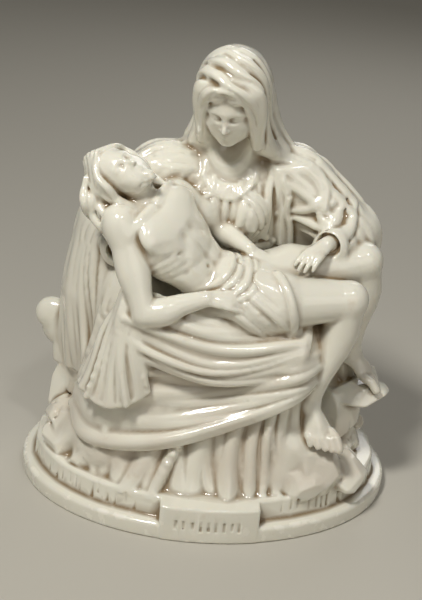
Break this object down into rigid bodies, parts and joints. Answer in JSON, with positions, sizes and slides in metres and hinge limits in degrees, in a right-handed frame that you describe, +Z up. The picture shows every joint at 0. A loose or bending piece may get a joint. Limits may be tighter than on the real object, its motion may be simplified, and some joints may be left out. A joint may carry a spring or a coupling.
{
  "type": "pieta statue",
  "caption": "Seated veiled woman holding a reclining bearded man across her lap, cast in one with the rock seat and a stepped oval plinth with a front tablet.",
  "frame": {"origin": "centre of the plinth's underside", "axes": "+Z up, +X to the viewer's right when the viewer faces the tablet, +Y away from that viewer"},
  "size_m": [0.158, 0.1163, 0.188],
  "materials": {
    "ivory_resin": "glossy cast resin, ivory, toned tan in the recesses"
  },
  "bodies": {
    "root": {"pieta_statue": "ivory_resin"}
  },
  "joints": []
}
